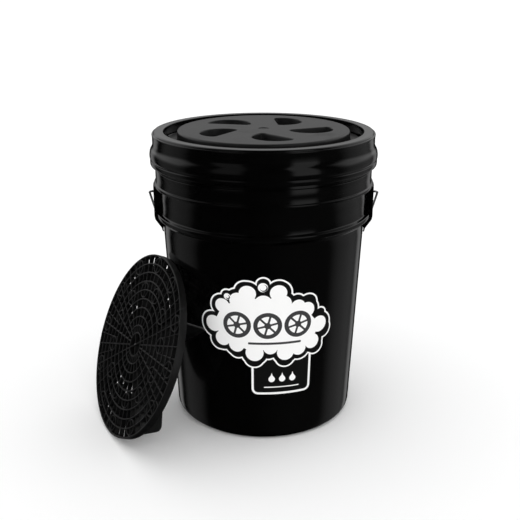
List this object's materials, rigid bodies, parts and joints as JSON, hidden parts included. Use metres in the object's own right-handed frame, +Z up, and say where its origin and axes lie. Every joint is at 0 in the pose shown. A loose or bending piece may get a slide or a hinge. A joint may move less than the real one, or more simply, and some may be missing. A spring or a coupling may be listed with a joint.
{
  "type": "wash bucket",
  "caption": "Tapered round wash bucket with a press-on lid ring, a threaded spin-in lid with finger wells, a wire bail with a roller grip and a loose grit guard.",
  "frame": {"origin": "middle of the pail's underside, on the floor", "axes": "+Z up along the pail's axis, front label towards -Y, bail pivots along X, the loose guard leaning at the -X side"},
  "size_m": [0.4274, 0.3729, 0.423],
  "materials": {
    "pail_plastic": "glossy moulded black polyethylene",
    "ring_plastic": "satin moulded black plastic",
    "lid_plastic": "fine-textured satin black plastic",
    "guard_plastic": "satin moulded black plastic",
    "grip_plastic": "satin ribbed black plastic",
    "seal_rubber": "matt soft rubber",
    "bail_steel": "bright drawn zinc-plated wire",
    "label_vinyl": "printed gloss vinyl"
  },
  "bodies": {
    "pail": {"pail": "pail_plastic", "adapter_ring": "ring_plastic", "rim_gasket": "seal_rubber", "front_label": "label_vinyl"},
    "lid_seal": {"lid_seal_ring": "seal_rubber"},
    "lid": {"spin_lid": "lid_plastic"},
    "bail": {"bail_wire": "bail_steel"},
    "grip": {"bail_grip": "grip_plastic"},
    "guard": {"grit_guard": "guard_plastic", "guard_fins": "guard_plastic"}
  },
  "joints": [
    {"name": "lid_rise", "type": "slide", "parent": "pail", "child": "lid_seal", "axis": [0, 0, 1], "range_m": [0, 0.036]},
    {"name": "lid_turn", "type": "hinge", "parent": "lid_seal", "child": "lid", "pos_m": [0, 0, 0.4], "axis": [0, 0, 1], "range_deg": [0, 540]},
    {"name": "bail_swing", "type": "hinge", "parent": "pail", "child": "bail", "pos_m": [0, 0, 0.3315], "axis": [1, 0, 0], "range_deg": [0, 236]},
    {"name": "grip_spin", "type": "hinge", "parent": "bail", "child": "grip", "pos_m": [0, 0.15494, 0.21475], "axis": [1, 0, 0], "continuous": true},
    {"name": "guard_slide", "type": "slide", "parent": "pail", "child": "guard", "axis": [-0.887, -0.4617, 0], "range_m": [0, 0.3]}
  ],
  "couplings": [
    {"joint": "lid_rise", "follows": "lid_turn", "m_per_rad": 0.0038197}
  ]
}
